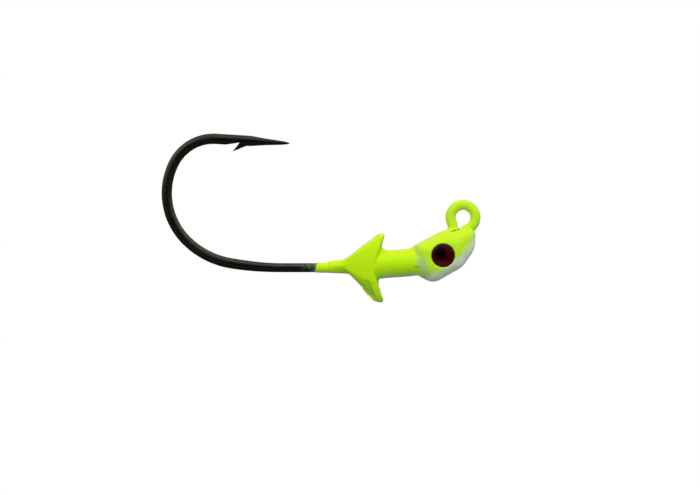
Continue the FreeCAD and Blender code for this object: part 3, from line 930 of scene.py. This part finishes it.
def floor_material():
    """A plain pale floor, nearly white to look at, and clear from below."""
    cloud, _, _, _ = effects()
    material, graph, shader, output = new_material("pale_floor")
    soft = graph.use(cloud, Size=60.0, Detail=2.0)
    graph.feed(shader.inputs["Base Color"], graph.mix(soft, *FLOOR_TONES))
    shader.inputs["Roughness"].default_value = 0.9
    shader.inputs["Specular IOR Level"].default_value = 0.0
    lift = graph.node("Emission")
    lift.inputs["Strength"].default_value = FLOOR_GLOW
    dark = graph.node("Emission")
    dark.inputs["Strength"].default_value = 0.0
    seen = graph.node("MixShader")
    graph.feed(seen.inputs[0], graph.node("LightPath").outputs["Is Camera Ray"])
    graph.feed(seen.inputs[1], dark.outputs[0])
    graph.feed(seen.inputs[2], lift.outputs[0])
    total = graph.node("AddShader")
    graph.feed(total.inputs[0], shader.outputs[0])
    graph.feed(total.inputs[1], seen.outputs[0])
    one_way = graph.node("MixShader")
    graph.feed(one_way.inputs[0], graph.node("NewGeometry").outputs["Backfacing"])
    graph.feed(one_way.inputs[1], total.outputs[0])
    graph.feed(one_way.inputs[2], graph.node("BsdfTransparent").outputs[0])
    graph.feed(output.inputs["Surface"], one_way.outputs[0])
    return material


def studio_world():
    """White to look at, white behind and beside the part in reflections, and a soft even fill."""
    world = bpy.data.worlds.new("studio")
    world.use_nodes = True
    world.node_tree.nodes.clear()
    world.cycles.sampling_method = "NONE"
    graph = Graph(world.node_tree)
    _, y, z = graph.apart(graph.node("TexCoord").outputs["Generated"])
    level = graph.step(y, -1.0, -0.6, FRONT_LEVEL, 1.0)
    level = graph.math("MULTIPLY", level, graph.step(z, 0.0, 0.5, BELOW_LEVEL, 1.0))
    white = graph.add("CombineColor", level, level, level)
    path = graph.node("LightPath")
    shine = graph.math(
        "MAXIMUM", path.outputs["Is Glossy Ray"], path.outputs["Is Transmission Ray"]
    )
    fill, mirrored, seen = (graph.node("Background") for _ in range(3))
    for plain in (fill, seen):
        plain.inputs[0].default_value = (*WHITE, 1)
    fill.inputs[1].default_value = FILL_LEVEL
    graph.feed(mirrored.inputs[0], white)
    first, second = graph.node("MixShader"), graph.node("MixShader")
    graph.feed(first.inputs[0], shine)
    graph.feed(first.inputs[1], fill.outputs[0])
    graph.feed(first.inputs[2], mirrored.outputs[0])
    graph.feed(second.inputs[0], path.outputs["Is Camera Ray"])
    graph.feed(second.inputs[1], first.outputs[0])
    graph.feed(second.inputs[2], seen.outputs[0])
    graph.feed(graph.node("OutputWorld").inputs[0], second.outputs[0])
    return world


# --- Operators -------------------------------------------------------------------------------

# The stage, in metres.
FLOOR_REACH = 0.15
LAMP_SIZE, LAMP_SIDE, LAMP_FRONT, LAMP_UP = 0.62, 0.02, -0.35, 0.36
SENSOR_WIDTH = 36.0  # millimetres
NEAR_CLIP, FAR_CLIP = 0.01, 10.0


class JIG_OT_coat(Operator):
    """Makes the powder coat over the lead and the painted wire"""

    bl_idname = "jig_head.coat"
    bl_label = "Powder coat"

    def execute(self, context):
        coat = context.scene.jig_coat
        skin = even_skin(coat)
        points = coat_points(skin, coat)
        skin.vertices.foreach_set("co", (points * MM).ravel())
        new_piece("painted_coat", skin, coat_material(coat), "chartreuse_coat", "powder_coat")
        return {"FINISHED"}


class JIG_OT_bare_metal(Operator):
    """Finishes the plated hook and the lead under the paint"""

    bl_idname = "jig_head.bare_metal"
    bl_label = "Hook and lead"

    def execute(self, context):
        scene = context.scene
        finishes = {
            "hook": plating_material(scene.jig_hook, scene.jig_coat),
            "head_casting": lead_material(),
        }
        for node, material in finishes.items():
            NODES[node].data.materials.clear()
            NODES[node].data.materials.append(material)
        return {"FINISHED"}


class JIG_OT_eyes(Operator):
    """Prints the eye discs and makes the resin domes over them"""

    bl_idname = "jig_head.eyes"
    bl_label = "Fish eyes"

    def execute(self, context):
        print_finish = print_material(context.scene.jig_eye)
        resin = resin_material()
        radius = (LENS_HIGH.x - LENS_LOW.x) / 2
        profile = dome_profile(radius, LENS_LOW.y, LENS_HIGH.y)
        points, faces = lathe(profile, DOME_SEGMENTS)
        for side, way in SIDES.items():
            disc = NODES[side + "_eye_disc"]
            disc.data.materials.clear()
            disc.data.materials.append(print_finish)
            placed = [((x + EYE.x) * MM, y * way * MM, (z + EYE.z) * MM) for x, y, z in points]
            mesh = bpy.data.meshes.new(side + "_resin_dome")
            mesh.from_pydata(placed, [], faces if way < 0 else [f[::-1] for f in faces])
            new_piece(side + "_resin_dome", mesh, resin, "eye_resin", side + "_eye_lens")
        return {"FINISHED"}


class JIG_OT_studio(Operator):
    """Sets the floor, the lamp, the world and the camera"""

    bl_idname = "jig_head.studio"
    bl_label = "Studio"

    def execute(self, context):
        scene = context.scene
        stage = scene.jig_stage
        scene.view_settings.view_transform = "Standard"
        scene.world = studio_world()

        mesh = bpy.data.meshes.new("floor")
        corners = [
            (stage.view_x + FLOOR_REACH * a, FLOOR_REACH * b, stage.floor_z)
            for a, b in ((-1, -1), (1, -1), (1, 1), (-1, 1))
        ]
        mesh.from_pydata(corners, [], [(0, 1, 2, 3)])
        mesh.materials.append(floor_material())
        floor = bpy.data.objects.new("floor", mesh)
        scene.collection.objects.link(floor)

        lamp = bpy.data.lights.new("softbox", "AREA")
        lamp.size, lamp.energy = LAMP_SIZE, stage.lamp_power
        box = bpy.data.objects.new("softbox", lamp)
        box.location = (stage.view_x + LAMP_SIDE, LAMP_FRONT, LAMP_UP)
        box.visible_glossy = False
        aim = Vector((stage.view_x, 0, stage.view_z)) - box.location
        box.rotation_euler = aim.to_track_quat("-Z", "Y").to_euler()
        scene.collection.objects.link(box)

        lens = bpy.data.cameras.new("camera")
        lens.lens, lens.sensor_width = stage.focal, SENSOR_WIDTH
        lens.clip_start, lens.clip_end = NEAR_CLIP, FAR_CLIP
        camera = bpy.data.objects.new("camera", lens)
        back = stage.view_width * lens.lens / lens.sensor_width
        camera.location = (stage.view_x, -back, stage.view_z)
        camera.rotation_euler = (math.pi / 2, 0, 0)
        scene.collection.objects.link(camera)
        scene.camera = camera
        return {"FINISHED"}


class JIG_PT_finish(Panel):
    """Lists the pieces of the finish and their sizes and colours"""

    bl_label = "Jig head"
    bl_space_type = "VIEW_3D"
    bl_region_type = "UI"
    bl_category = "Jig head"

    def draw(self, context):
        for operator, settings in STEPS:
            box = self.layout.box()
            box.operator(operator.bl_idname)
            if settings:
                group = getattr(context.scene, settings)
                for name in group.bl_rna.properties.keys():
                    if name not in ("rna_type", "name"):
                        box.prop(group, name)


GROUPS = {
    "jig_coat": JigCoatSettings,
    "jig_eye": JigEyeSettings,
    "jig_hook": JigHookSettings,
    "jig_stage": JigStageSettings,
}
STEPS = [
    (JIG_OT_coat, "jig_coat"),
    (JIG_OT_bare_metal, "jig_hook"),
    (JIG_OT_eyes, "jig_eye"),
    (JIG_OT_studio, "jig_stage"),
]
CLASSES = [*GROUPS.values(), *(operator for operator, _ in STEPS), JIG_PT_finish]


def register():
    for made in CLASSES:
        bpy.utils.register_class(made)
    for name, group in GROUPS.items():
        setattr(bpy.types.Scene, name, PointerProperty(type=group))


def unregister():
    for name in GROUPS:
        delattr(bpy.types.Scene, name)
    for made in reversed(CLASSES):
        bpy.utils.unregister_class(made)


def main():
    register()
    bpy.ops.jig_head.coat()
    bpy.ops.jig_head.bare_metal()
    bpy.ops.jig_head.eyes()
    bpy.ops.jig_head.studio()


if __name__ == "__main__":
    main()
